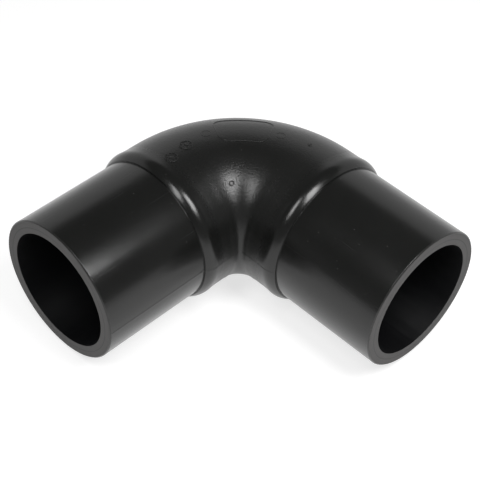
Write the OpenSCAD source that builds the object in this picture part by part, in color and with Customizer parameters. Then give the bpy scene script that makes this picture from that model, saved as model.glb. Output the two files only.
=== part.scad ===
// Spigot elbow: a 90 degree bend in one moulded piece, with two plain pipe ends
// that go into a coupler or are welded face to face with a pipe.
// The whole piece is hollow, from one end face round to the other.
// Its origin is the centre of the inlet's end face, and the passage runs along +Y,
// turns at the crossing of the two centrelines and leaves along +X.

/* [Spigots] */
// Outside diameter of both pipe ends
spigot_d = 110; // [90:1:125]
// Wall thickness of the pipe ends
spigot_wall = 10; // [6:0.5:14]
// Length of a pipe end, from its end face to the foot of the shoulder
spigot_length = 87.5; // [60:0.5:95]
// Bevel on the outer rim of each end face
rim_bevel = 0.8; // [0.2:0.1:2]

/* [Bend] */
// How far the body stands out from the pipe ends
body_height = 3.5; // [3:0.1:5]
// Rounding of the inner corner between the two legs
throat_round = 2; // [1:0.5:20]
// How much wider than its throat the body turns
outer_extra = 5.4; // [2:0.1:10]
// Straight length of the body, from the end of its turn to the foot of a shoulder
body_straight = 24.3; // [24:0.1:60]

/* [Shoulders] */
// Height of a shoulder's crest above the body
crest_height = 0.6; // [0.3:0.1:1]
// Distance from the foot of a shoulder to its crest
crest_reach = 7.7; // [6:0.1:9]
// Height of the square step at the foot
foot_step = 1; // [0.3:0.1:1.5]
// Hollow rounding from the crest back to the body
run_round = 60; // [30:1:80]

/* [Hidden] */

$fn = 96;

spigot_r = spigot_d / 2;
bore_r = spigot_r - spigot_wall;
body_r = spigot_r + body_height;
crest_r = body_r + crest_height;

// The throat is cut by a tighter turn than the body's own. It is a little thicker than the body, so
// that it cuts nothing off the legs.
throat_ease = 0.3;
throat_r = body_r + throat_ease;
throat_turn = throat_r + throat_round;
body_turn = throat_turn + outer_extra;
// The passage turns halfway between the two.
passage_turn = (throat_turn + body_turn) / 2;

// Heights along a leg, from the crossing of the centrelines
foot_z = body_turn + body_straight;
face_z = foot_z + spigot_length;
crest_z = foot_z - crest_reach;

// The round over the crest falls from the crest to the top of the square step.
fall = crest_r - spigot_r - foot_step;
crest_round = (pow(fall, 2) + pow(crest_reach, 2)) / (2 * fall);

// Behind the crest it passes into the hollow round, which runs out into the body. Rounds lap by a
// hair where they meet, so that each meets the next in one clean edge.
lap = 0.006;
centres_apart = crest_round + run_round - lap;
run_length = sqrt(pow(centres_apart, 2) - pow(centres_apart - crest_height, 2));
run_z = crest_z - run_length;
meet_z = crest_z - run_length * crest_round / centres_apart;

// Section of a solid leg of one radius, between two heights
module slab(z_from, z_to, r) {
    translate([0, z_from])
        square([r, z_to - z_from]);
}

// Section of a pipe end, from the end of the turn to the end face
module spigot_section() {
    polygon([
        [0, body_turn],
        [spigot_r, body_turn],
        [spigot_r, face_z - rim_bevel],
        [spigot_r - rim_bevel, face_z],
        [0, face_z]
    ]);
}

// Section of the body and its shoulder: a hollow run up from the body, and a round over the crest
// that ends in the square step
module body_section() {
    slab(body_turn, crest_z, body_r);
    difference() {
        slab(run_z, meet_z, crest_r);
        translate([body_r + run_round - lap, run_z])
            circle(r = run_round);
    }
    intersection() {
        translate([crest_r - crest_round, crest_z])
            circle(r = crest_round);
        slab(run_z, foot_z, crest_r);
    }
}

// Outside of one straight leg, along +Z from the crossing of the centrelines
module leg() {
    rotate_extrude() {
        spigot_section();
        body_section();
    }
}

// Quarter turn of a solid round bar, tangent to both centrelines
module turn(radius, r) {
    translate([radius, -radius, 0])
        rotate_extrude(angle = 90, start = 90)
            translate([radius, 0])
                circle(r = r);
}

// Two straight round bars, one along each leg, between two heights
module straights(z_from, z_to, r) {
    rotate([90, 0, 0])
        translate([0, 0, z_from])
            cylinder(r = r, h = z_to - z_from);
    rotate([0, 90, 0])
        translate([0, 0, z_from])
            cylinder(r = r, h = z_to - z_from);
}

// Outside of the bend: the body's turn, cut back to the tighter turn at its throat
module bend() {
    intersection() {
        turn(body_turn, body_r);
        union() {
            turn(throat_turn, throat_r);
            straights(throat_turn, body_turn + 1, throat_r);
        }
    }
}

// The hollow that runs from one end face to the other, and a little out of both
module passage() {
    turn(passage_turn, bore_r);
    straights(passage_turn, face_z + 1, bore_r);
}

module elbow() {
    color("#232423")
        translate([0, face_z, 0])
            difference() {
                union() {
                    rotate([90, 0, 0])
                        leg();
                    rotate([0, 90, 0])
                        leg();
                    bend();
                }
                passage();
            }
}

elbow();
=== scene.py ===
import math

import bmesh
import bpy
from mathutils import Matrix, Vector


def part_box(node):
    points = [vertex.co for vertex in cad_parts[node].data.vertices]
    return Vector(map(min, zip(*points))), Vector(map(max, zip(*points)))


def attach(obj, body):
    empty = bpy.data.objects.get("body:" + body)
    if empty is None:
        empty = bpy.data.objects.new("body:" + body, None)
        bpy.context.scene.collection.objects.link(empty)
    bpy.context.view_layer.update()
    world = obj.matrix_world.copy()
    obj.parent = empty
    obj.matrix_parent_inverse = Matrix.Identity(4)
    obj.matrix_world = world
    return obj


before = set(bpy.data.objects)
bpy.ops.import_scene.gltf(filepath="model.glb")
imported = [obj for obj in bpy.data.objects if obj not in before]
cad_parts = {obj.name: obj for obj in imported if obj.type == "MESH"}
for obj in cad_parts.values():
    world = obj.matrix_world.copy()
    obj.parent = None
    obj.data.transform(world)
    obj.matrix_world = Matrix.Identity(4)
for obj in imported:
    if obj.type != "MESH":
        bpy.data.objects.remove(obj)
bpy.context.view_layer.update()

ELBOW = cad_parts["elbow"]
FLOOR_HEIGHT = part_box("elbow")[0].z

# ---- sizes of the CAD model, in metres ----
# From each end face to the crossing of the centrelines, at (0, REACH)
REACH = 0.178
# Radii of the outside and of the bore
SPIGOT_R = 0.055
BODY_R = 0.0585
THROAT_R = 0.0588
CREST_R = 0.0591
BORE_R = 0.045
# Turning radii of the body, of its throat and of the passage
BODY_TURN = 0.0662
THROAT_TURN = 0.0608
PASSAGE_TURN = 0.0635
# From an end face to the foot of the shoulder
FOOT = 0.0875
# From there to the crest, to the start of the hollow run behind it, and to where that runs out
CREST_REACH = 0.0077
MEET = 0.00914
RUN_END = 0.01692
# Radii of the round over the crest and of the hollow run
CREST_ROUND = 0.01111
RUN_ROUND = 0.060
# Length of the body's turn along its centreline
TURN_END = BODY_TURN * math.pi / 2

# ---- stage ----
# The camera fitted to the photograph: its place, the directions to its right and to its back, and
# its lens for a film of this width, in millimetres
CAMERA_PLACE = (0.52731, -0.37818, 0.70733)
CAMERA_RIGHT = (0.70312, 0.71029, 0.03331)
CAMERA_BACK = (0.48074, -0.50937, 0.71374)
CAMERA_LENS = 103.25
FILM_WIDTH = 36
# Where the lamps point, and half the floor's side
LAMP_TARGET = Vector((0.05, 0.13, 0.04))
FLOOR_HALF = 9.0
# The floor's white as it lights the part, and as it is seen: its own grey plus a glow
FLOOR_WHITE = (0.8, 0.8, 0.8, 1)
FLOOR_SEEN = (0.5, 0.5, 0.5, 1)
FLOOR_GLOW = 0.71
# The way to the backdrop behind the part, in x and y
BEHIND = (-0.68, 0.73)

# ---- colours of the moulded piece ----
# Where there are two, a cloudy noise runs from one to the other.
SKIN_COLORS = (0.0052, 0.0054, 0.0050, 1), (0.0080, 0.0082, 0.0077, 1)
DUST_COLOR = (0.10, 0.10, 0.095, 1)
SCRATCH_COLOR = (0.05, 0.05, 0.048, 1)
RIM_COLOR = (0.045, 0.045, 0.044, 1)
# The bore's darker colours are painted shade inside the hollow.
BORE_PAINTED_SHADE_COLORS = (0.0010, 0.0011, 0.0016, 1), (0.0020, 0.0022, 0.0030, 1)
FACE_COLORS = (0.042, 0.041, 0.040, 1), (0.062, 0.059, 0.058, 1)
FACE_RING_COLOR = (0.077, 0.074, 0.073, 1)
# Painted shade in the end faces' deeper groove and fine groove
GROOVE_PAINTED_SHADE_COLOR = (0.010, 0.010, 0.010, 1)
FINE_GROOVE_PAINTED_SHADE_COLOR = (0.012, 0.012, 0.012, 1)

# ---- end faces ----
# Pitch of the turned rings, and the radii of the deeper groove and of the fine one
RING_PITCH = 0.00042
GROOVE_R = 0.0494
FINE_GROOVE_R = 0.0531

# ---- raised lines on the skin ----
# How far the edges of a line lie under the skin, so that no gap shows
SINK = 0.00005
# The parting line: its width and height, the depth of its edges, and where it starts, past the rim
PARTING_WIDTH = 0.00042
PARTING_HEIGHT = 0.00014
PARTING_SINK = 0.0001
PARTING_START = 0.0012
# Rough distance between two points of a panel's outline, so that it follows the curved skin
PANEL_STEP = 0.002
# A mould dial: radius of its ring, the radii along a tick, half the pointer's length, and the length
# and angle in degrees of its barbs
DIAL_R = 0.0046
DIAL_TICK = (0.0029, 0.0034, 0.0039)
POINTER = 0.0015
BARB = 0.0010
BARB_ANGLE = 40


# ---- camera, at the photograph's angle ----
def make_camera():
    data = bpy.data.cameras.new("camera")
    data.sensor_width = FILM_WIDTH
    data.lens = CAMERA_LENS
    data.clip_start = 0.05
    data.clip_end = 60
    cam = bpy.data.objects.new("camera", data)
    bpy.context.scene.collection.objects.link(cam)
    right = Vector(CAMERA_RIGHT).normalized()
    back = Vector(CAMERA_BACK).normalized()
    up = back.cross(right).normalized()
    turn = Matrix((right, up, back)).transposed().to_4x4()
    cam.matrix_world = Matrix.Translation(CAMERA_PLACE) @ turn
    bpy.context.scene.camera = cam


# ---- node helpers ----
class Nodes:
    """Adds nodes to a tree and links them. A value may be a number, a colour or a socket."""

    def __init__(self, tree):
        self.tree = tree
        tree.nodes.clear()

    def add(self, kind, **props):
        node = self.tree.nodes.new(kind)
        for name, value in props.items():
            setattr(node, name, value)
        return node

    def set(self, socket, value):
        if isinstance(value, bpy.types.NodeSocket):
            self.tree.links.new(value, socket)
        else:
            socket.default_value = value

    def fill(self, node, *values):
        """Sets a node's first inputs, and returns its first output."""
        for socket, value in zip(node.inputs, values):
            self.set(socket, value)
        return node.outputs[0]

    def math(self, operation, a, b=0.0):
        return self.fill(self.add("ShaderNodeMath", operation=operation), a, b)

    def plus(self, first, *rest):
        for value in rest:
            first = self.math("ADD", first, value)
        return first

    def minus(self, a, b):
        return self.math("SUBTRACT", a, b)

    def times(self, a, b):
        return self.math("MULTIPLY", a, b)

    def smaller(self, a, b):
        return self.math("MINIMUM", a, b)

    def larger(self, a, b):
        return self.math("MAXIMUM", a, b)

    def length(self, a, b):
        return self.math("SQRT", self.plus(self.times(a, a), self.times(b, b)))

    def ramp(self, value, start, end, low=0.0, high=1.0):
        """Runs smoothly from low to high as the value goes from start to end."""
        node = self.add("ShaderNodeMapRange", interpolation_type="SMOOTHSTEP")
        return self.fill(node, value, start, end, low, high)

    def near(self, value, centre, start, end):
        """Rises from 0 to 1 as the value's distance from the centre falls from start to end."""
        return self.ramp(self.math("ABSOLUTE", self.minus(value, centre)), start, end)

    def xyz(self, x, y, z):
        return self.fill(self.add("ShaderNodeCombineXYZ"), x, y, z)

    def split(self, vector):
        node = self.add("ShaderNodeSeparateXYZ")
        self.fill(node, vector)
        return node.outputs

    def noise(self, place, scale, detail=2.0, rough=0.5):
        node = self.add("ShaderNodeTexNoise", noise_dimensions="3D")
        self.set(node.inputs["Vector"], place)
        self.set(node.inputs["Scale"], scale)
        self.set(node.inputs["Detail"], detail)
        self.set(node.inputs["Roughness"], rough)
        return node.outputs["Fac"]

    def mix(self, factor, a, b):
        """Mixes two colours."""
        node = self.add("ShaderNodeMix", data_type="RGBA")
        self.set(node.inputs["Factor"], factor)
        self.set(node.inputs[6], a)
        self.set(node.inputs[7], b)
        return node.outputs[2]

    def tint(self, factor, strength, color, over):
        """Lays a colour over another, by a factor times a strength."""
        return self.mix(self.times(factor, strength), over, color)

    def blend(self, factor, a, b):
        """Mixes two numbers."""
        node = self.add("ShaderNodeMix", data_type="FLOAT")
        self.set(node.inputs["Factor"], factor)
        self.set(node.inputs[2], a)
        self.set(node.inputs[3], b)
        return node.outputs[0]


# ---- stage: floor, world and four soft lights ----
def make_floor():
    """A plain white floor. It shows white to the camera and in reflections, less the part's shadow."""
    h, z = FLOOR_HALF, FLOOR_HEIGHT
    mesh = bpy.data.meshes.new("floor")
    mesh.from_pydata([(-h, -h, z), (h, -h, z), (h, h, z), (-h, h, z)], [], [(0, 1, 2, 3)])
    floor = bpy.data.objects.new("floor", mesh)
    bpy.context.scene.collection.objects.link(floor)
    mat = bpy.data.materials.new("floor_paper")
    mat.use_nodes = True
    n = Nodes(mat.node_tree)
    plain = n.add("ShaderNodeBsdfDiffuse")
    plain.inputs["Color"].default_value = FLOOR_WHITE
    seen = n.add("ShaderNodeBsdfDiffuse")
    seen.inputs["Color"].default_value = FLOOR_SEEN
    glow = n.add("ShaderNodeEmission")
    glow.inputs["Color"].default_value = (1, 1, 1, 1)
    glow.inputs["Strength"].default_value = FLOOR_GLOW
    both = n.fill(n.add("ShaderNodeAddShader"), seen.outputs[0], glow.outputs[0])
    path = n.add("ShaderNodeLightPath").outputs
    rays = n.larger(n.larger(path["Is Camera Ray"], path["Is Glossy Ray"]), path["Is Transmission Ray"])
    pick = n.fill(n.add("ShaderNodeMixShader"), rays, plain.outputs[0], both)
    n.set(n.add("ShaderNodeOutputMaterial").inputs["Surface"], pick)
    mesh.materials.append(mat)


def make_world():
    """A studio whose pale backdrop stands behind the part. It is dim overhead and on the near side."""
    world = bpy.data.worlds.new("studio")
    world.use_nodes = True
    bpy.context.scene.world = world
    n = Nodes(world.node_tree)
    x, y, z = n.split(n.add("ShaderNodeTexCoord").outputs["Generated"])
    behind = n.plus(n.times(x, BEHIND[0]), n.times(y, BEHIND[1]))
    # The backdrop ends in a soft upper edge, and the near side grows dim upwards.
    backdrop = n.ramp(z, 0.68, 0.54, low=0.11, high=0.9)
    near_side = n.ramp(z, 0.05, 0.60, low=0.30, high=0.095)
    level = n.blend(n.ramp(behind, -0.10, 0.30), near_side, backdrop)
    background = n.add("ShaderNodeBackground")
    n.set(background.inputs["Strength"], level)
    n.set(n.add("ShaderNodeOutputWorld").inputs["Surface"], background.outputs[0])


def soft_box(name, place, size, power):
    """A soft box that faces the bend."""
    data = bpy.data.lights.new(name, "AREA")
    data.shape = "RECTANGLE"
    data.size, data.size_y = size
    data.energy = power
    box = bpy.data.objects.new(name, data)
    bpy.context.scene.collection.objects.link(box)
    box.location = place
    box.rotation_euler = (box.location - LAMP_TARGET).to_track_quat("Z", "Y").to_euler()
    return box


# ---- material of the moulded piece ----
def in_passage(n, x, y, z):
    """Place along the passage's centreline, outward from it in its plane, and away from it."""
    u = n.minus(x, PASSAGE_TURN)
    v = n.minus(y, REACH - PASSAGE_TURN)
    inlet_side = n.smaller(u, 0.0)
    past_inlet = n.larger(v, 0.0)
    outward = n.minus(n.length(inlet_side, past_inlet), PASSAGE_TURN)
    turned = n.times(n.math("ARCTAN2", past_inlet, n.times(inlet_side, -1.0)), PASSAGE_TURN)
    straight = n.plus(n.smaller(v, 0.0), n.larger(u, 0.0))
    return n.plus(turned, straight), outward, n.length(outward, z)


def moulded_skin(n, pos, along, outward, z, body, cloud, flow):
    """Colour, roughness and height of the skin: fine grain, waviness, specks and faint scratches."""
    grain = n.noise(pos, 980.0, detail=1.0)
    orange_peel = n.noise(pos, 160.0)
    waves = n.noise(pos, 62.0, detail=1.0)
    drawn = n.xyz(n.times(along, 0.035), n.times(outward, 3.0), n.times(z, 3.0))
    scratch = n.ramp(n.noise(drawn, 420.0, detail=1.0, rough=0.4), 0.74, 0.80)
    dust = n.add("ShaderNodeTexVoronoi", voronoi_dimensions="3D", feature="F1")
    n.set(dust.inputs["Vector"], pos)
    n.set(dust.inputs["Scale"], 300.0)
    few = n.ramp(n.fill(n.add("ShaderNodeSeparateColor"), dust.outputs["Color"]), 0.90, 0.97)
    speck = n.times(n.ramp(dust.outputs["Distance"], 0.16, 0.06), few)

    color = n.mix(cloud, *SKIN_COLORS)
    color = n.tint(speck, 0.35, DUST_COLOR, over=color)
    color = n.tint(scratch, 0.12, SCRATCH_COLOR, over=color)

    # The spigots and shoulders are glossier and smoother than the body.
    rough = n.plus(n.blend(body, 0.18, 0.26), n.times(cloud, 0.08),
                   n.times(n.minus(grain, 0.5), 0.10), n.times(scratch, 0.08))
    height = n.plus(n.times(orange_peel, 0.6), n.times(grain, n.blend(body, 0.5, 3.4)),
                    n.times(waves, n.blend(body, 1.5, 4.0)), n.times(flow, 0.25), n.times(scratch, -0.12))
    return color, rough, height


def turned_face(n, pos, away):
    """Colour, roughness and height of an end face: turned rings, a deeper groove and a fine one. The colour
    has painted shade in both grooves; only the deeper one is cut into the height.
    """
    ring = n.math("SINE", n.times(away, 2 * math.pi / RING_PITCH))
    ring_noise = n.noise(n.xyz(away, 0.0, 0.0), 2600.0, rough=0.6)
    groove = n.near(away, GROOVE_R, 0.00044, 0.00016)
    fine_groove = n.near(away, FINE_GROOVE_R, 0.00034, 0.00012)

    color = n.mix(n.noise(pos, 60.0, detail=3.0, rough=0.6), *FACE_COLORS)
    color = n.tint(ring_noise, 0.35, FACE_RING_COLOR, over=color)
    # Painted shade darkens both grooves.
    color = n.tint(groove, 0.75, GROOVE_PAINTED_SHADE_COLOR, over=color)
    color = n.tint(fine_groove, 0.45, FINE_GROOVE_PAINTED_SHADE_COLOR, over=color)

    rough = n.plus(0.52, n.times(ring_noise, 0.16))
    height = n.minus(n.plus(n.times(ring, 0.06), n.times(ring_noise, 0.25)), n.times(groove, 0.6))
    return color, rough, height


def polyethylene():
    mat = bpy.data.materials.new("polyethylene_black")
    mat.use_nodes = True
    n = Nodes(mat.node_tree)
    pos = n.add("ShaderNodeTexCoord").outputs["Object"]
    x, y, z = n.split(pos)
    along, outward, away = in_passage(n, x, y, z)
    from_end = n.smaller(y, n.minus(REACH, x))

    # Where each finish is, from 0 to 1: the end faces, the bore, and the body behind the shoulders. The
    # bore's mask also lays painted shade into the colour.
    face = n.larger(n.ramp(y, 0.00012, 0.00002), n.ramp(x, REACH - 0.00012, REACH - 0.00002))
    off_face = n.minus(1.0, face)
    bore = n.times(n.ramp(away, BORE_R + 0.0006, BORE_R + 0.0002), off_face)
    body = n.ramp(from_end, FOOT + 0.008, FOOT + 0.020)

    cloud = n.noise(pos, 22.0, detail=3.0, rough=0.55)
    flow = n.noise(n.xyz(n.times(along, 0.12), outward, z), 240.0)
    skin_color, skin_rough, skin_height = moulded_skin(n, pos, along, outward, z, body, cloud, flow)
    face_color, face_rough, face_height = turned_face(n, pos, away)

    # The bore's colour is darker than the skin's: painted shade in the hollow. Its roughness has faint lines
    # along it.
    bore_painted_shade = n.mix(cloud, *BORE_PAINTED_SHADE_COLORS)
    bore_rough = n.plus(0.40, n.times(flow, 0.14))

    # The rims of the end faces are a little worn and paler.
    rim = n.times(n.ramp(from_end, 0.0016, 0.0004), n.ramp(away, 0.0536, 0.0546))
    wear = n.plus(0.4, n.times(n.noise(pos, 340.0, rough=0.6), 0.9))
    rim = n.times(n.times(rim, off_face), wear)

    color = n.mix(face, n.mix(bore, skin_color, bore_painted_shade), face_color)
    color = n.tint(rim, 0.45, RIM_COLOR, over=color)
    rough = n.blend(face, n.blend(bore, skin_rough, bore_rough), face_rough)

    # The mould's own edges are a little round, and the throat's the most.
    throat = n.times(n.ramp(outward, 0.012, -0.004), body)
    soft = n.add("ShaderNodeBevel", samples=8)
    n.set(soft.inputs["Radius"], n.blend(throat, 0.0005, 0.0055))
    bump = n.add("ShaderNodeBump")
    bump.inputs["Strength"].default_value = 0.35
    bump.inputs["Distance"].default_value = 0.00012
    n.set(bump.inputs["Height"], n.blend(face, skin_height, face_height))
    n.set(bump.inputs["Normal"], soft.outputs[0])

    bsdf = n.add("ShaderNodeBsdfPrincipled")
    bsdf.inputs["Specular IOR Level"].default_value = 0.47
    n.set(bsdf.inputs["Base Color"], color)
    n.set(bsdf.inputs["Roughness"], rough)
    n.set(bsdf.inputs["Normal"], bump.outputs[0])
    n.set(n.add("ShaderNodeOutputMaterial").inputs["Surface"], bsdf.outputs[0])
    return mat


# ---- what the mould leaves on the skin ----
def shoulder(a):
    """Radius of the skin at a distance from the foot of a shoulder, towards the bend."""
    if a < 0:
        return SPIGOT_R
    if a < MEET:
        return CREST_R - CREST_ROUND + math.sqrt(CREST_ROUND ** 2 - (CREST_REACH - a) ** 2)
    if a < RUN_END:
        return BODY_R + RUN_ROUND - math.sqrt(RUN_ROUND ** 2 - (RUN_END - a) ** 2)
    return BODY_R


def on_skin(s, phi, height=0.0):
    """A point of the skin. s runs along the body from the start of its turn, and phi goes round it,
    from 0 on the outer side over 90 on top."""
    phi = math.radians(phi)
    straight = max(-s, s - TURN_END, 0.0)
    r = height + shoulder(REACH - FOOT - BODY_TURN - straight) if straight else height + BODY_R
    q, z = r * math.cos(phi), r * math.sin(phi)
    if s < 0:
        return Vector((-q, REACH - BODY_TURN + s, z))
    if s > TURN_END:
        return Vector((BODY_TURN + s - TURN_END, REACH + q, z))
    t = s / BODY_TURN
    reach = BODY_TURN + q
    return Vector((BODY_TURN - reach * math.cos(t), REACH - BODY_TURN + reach * math.sin(t), z))


def mesh_piece(name, verts, faces, material):
    mesh = bpy.data.meshes.new(name)
    mesh.from_pydata([tuple(v) for v in verts], [], faces)
    mesh.validate()
    bm = bmesh.new()
    bm.from_mesh(mesh)
    bmesh.ops.recalc_face_normals(bm, faces=bm.faces)
    bm.to_mesh(mesh)
    bm.free()
    mesh.materials.append(material)
    mesh.shade_smooth()
    piece = bpy.data.objects.new(name, mesh)
    bpy.context.scene.collection.objects.link(piece)
    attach(piece, "root")


def ribbon_faces(first, count, across, closed):
    """Faces of a ribbon whose sections follow each other in the list of points, from the first on. An
    open ribbon has a face at each end."""
    faces = []
    for i in range(count if closed else count - 1):
        near, far = first + across * i, first + across * ((i + 1) % count)
        faces += [(near + k, far + k, far + k + 1, near + k + 1) for k in range(across - 1)]
    if not closed:
        for end in (first, first + across * (count - 1)):
            faces.append(tuple(end + k for k in range(across)))
    return faces


def strokes(name, centre, lines, width, height, material):
    """Fine raised lines on the skin round a centre (s, phi). Each line is a list of points (along,
    across) in metres, and True where it closes."""
    s0, phi0 = centre
    # On the turn, a metre of skin is more of s on the inner side and less of it on the outer side.
    rate = (BODY_TURN + BODY_R * math.cos(math.radians(phi0))) / BODY_TURN if 0 < s0 < TURN_END else 1.0
    section = (-0.5, -SINK), (-0.22, height), (0.22, height), (0.5, -SINK)

    verts, faces = [], []
    for pts, closed in lines:
        count = len(pts)
        faces += ribbon_faces(len(verts), count, len(section), closed)
        for i, p in enumerate(pts):
            before = pts[i - 1] if i or closed else p
            after = pts[(i + 1) % count] if i < count - 1 or closed else p
            dx, dy = after[0] - before[0], after[1] - before[1]
            length = math.hypot(dx, dy)
            nx, ny = -dy / length, dx / length
            for k, h in section:
                x, y = p[0] + nx * k * width, p[1] + ny * k * width
                verts.append(on_skin(s0 + x / rate, phi0 + math.degrees(y / BODY_R), h))
    mesh_piece(name, verts, faces, material)


def circle_line(radius, steps=48, x=0.0, y=0.0):
    angles = [2 * math.pi * i / steps for i in range(steps)]
    return [(x + radius * math.cos(a), y + radius * math.sin(a)) for a in angles], True


def panel_line(half_x, half_y, corner, steps=8):
    """Rounded rectangle."""
    pts = []
    for cx, cy, start in ((1, 1, 0), (-1, 1, 90), (-1, -1, 180), (1, -1, 270)):
        for i in range(steps + 1):
            a = math.radians(start + 90 * i / steps)
            pts.append((cx * (half_x - corner) + corner * math.cos(a),
                        cy * (half_y - corner) + corner * math.sin(a)))
    dense = []
    for i, p in enumerate(pts):
        q = pts[(i + 1) % len(pts)]
        parts = max(1, round(math.hypot(q[0] - p[0], q[1] - p[1]) / PANEL_STEP))
        dense += [(p[0] + (q[0] - p[0]) * k / parts, p[1] + (q[1] - p[1]) * k / parts) for k in range(parts)]
    return dense, True


def dial_lines(pointer):
    """A mould dial: a ring, eight ticks and a pointer at an angle. It carries no numbers."""
    lines = [circle_line(DIAL_R)]
    for i in range(8):
        a = math.radians(45 * i)
        lines.append(([(r * math.cos(a), r * math.sin(a)) for r in DIAL_TICK], False))
    c, s = math.cos(math.radians(pointer)), math.sin(math.radians(pointer))
    lines.append(([(r * c, r * s) for r in (-POINTER, 0.0, POINTER)], False))
    tip = POINTER * c, POINTER * s
    for side in (-BARB_ANGLE, BARB_ANGLE):
        b = math.radians(pointer + 180 + side)
        lines.append(([tip, (tip[0] + BARB * math.cos(b), tip[1] + BARB * math.sin(b))], False))
    return lines


def spread(start, end, count):
    """Evenly spaced values, both ends among them."""
    return [start + (end - start) * i / count for i in range(count + 1)]


def inner_path():
    """Where the parting line runs: from the inlet's rim up the inner side of that leg, round the
    throat, and out to the other shoulder's foot. It holds points (x, y) and the skin's outward
    direction there. The last point of the spigot is already on top of the step at the foot."""
    spigot = spread(PARTING_START, FOOT, 20)
    hump = spread(FOOT + 0.0001, FOOT + RUN_END, 36)
    half = [(shoulder(t - FOOT), t, 1.0, 0.0) for t in spigot + hump]
    for y in spread(FOOT + RUN_END, REACH - THROAT_TURN, 12)[1:]:
        into_turn = max(0.0, y - (REACH - BODY_TURN))
        bulge = BODY_TURN - math.sqrt((BODY_TURN - BODY_R) ** 2 - into_turn ** 2)
        half.append((min(bulge, THROAT_R), y, 1.0, 0.0))
    throat = THROAT_TURN - THROAT_R
    for i in range(1, 7):
        a = math.radians(180 - 7.5 * i)
        c, s = math.cos(a), math.sin(a)
        half.append((THROAT_TURN + throat * c, REACH - THROAT_TURN + throat * s, -c, -s))
    other = [(REACH - y, REACH - x, -ny, -nx) for x, y, nx, ny in half if y > FOOT + 0.0004]
    return half + other[::-1][1:]


def parting_line(name, path, material):
    """The hairline where the mould halves met, in the plane of the centrelines."""
    width, height = PARTING_WIDTH, PARTING_HEIGHT
    section = ((-0.5, -PARTING_SINK), (-0.2, 0.8 * height), (0.0, height), (0.2, 0.8 * height),
               (0.5, -PARTING_SINK))
    verts = [(x + nx * rise, y + ny * rise, z * width) for x, y, nx, ny in path for z, rise in section]
    mesh_piece(name, verts, ribbon_faces(0, len(path), len(section), False), material)


bpy.context.scene.view_settings.view_transform = "Standard"
make_camera()
make_floor()
make_world()
soft_box("key", (0.40, 0.115, 0.56), (0.21, 0.34), 2.75)
soft_box("key_side", (0.37, 0.225, 0.49), (0.04, 0.17), 0.28)
soft_box("fill", (0.125, -0.23, 0.55), (0.17, 0.30), 1.45)
# The overhead softens the shadow. The real one is out of the reflections' way, and so is this one.
soft_box("overhead", (0.1, 0.1, 1.9), (1.8, 1.8), 3.5).visible_glossy = False
SKIN = polyethylene()
ELBOW.material_slots[0].material = SKIN

parting_line("parting_line", inner_path(), SKIN)
# Each mark: where its centre is, its lines, and their width and height. The turn's middle is MIDDLE,
# and a degree of the turn is PER_DEGREE long.
MIDDLE = TURN_END / 2
PER_DEGREE = BODY_TURN * math.pi / 180
PINS = [circle_line(0.0036, x=-0.0275), circle_line(0.0036, x=0.0275)]
PIN_MARK = [circle_line(0.0016, 24), circle_line(0.0007, 12)]
for name, centre, lines, width, height in (
        ("bare_panel", (MIDDLE, 78.5), [panel_line(0.0205, 0.0148, 0.008)], 0.0008, 0.00030),
        ("panel_pins", (MIDDLE, 81), PINS, 0.0006, 0.00016),
        ("dial_a", (9.3 * PER_DEGREE, 86.5), dial_lines(60), 0.0008, 0.00045),
        ("dial_b", (-0.0052, 90), dial_lines(200), 0.0008, 0.00045),
        ("gate_mark", (31.1 * PER_DEGREE, 126.3), [circle_line(0.0016, 28)], 0.0007, 0.00010),
        ("pin_mark", (82.6 * PER_DEGREE, 78.7), PIN_MARK, 0.0005, 0.00022)):
    strokes(name, centre, lines, width, height, SKIN)
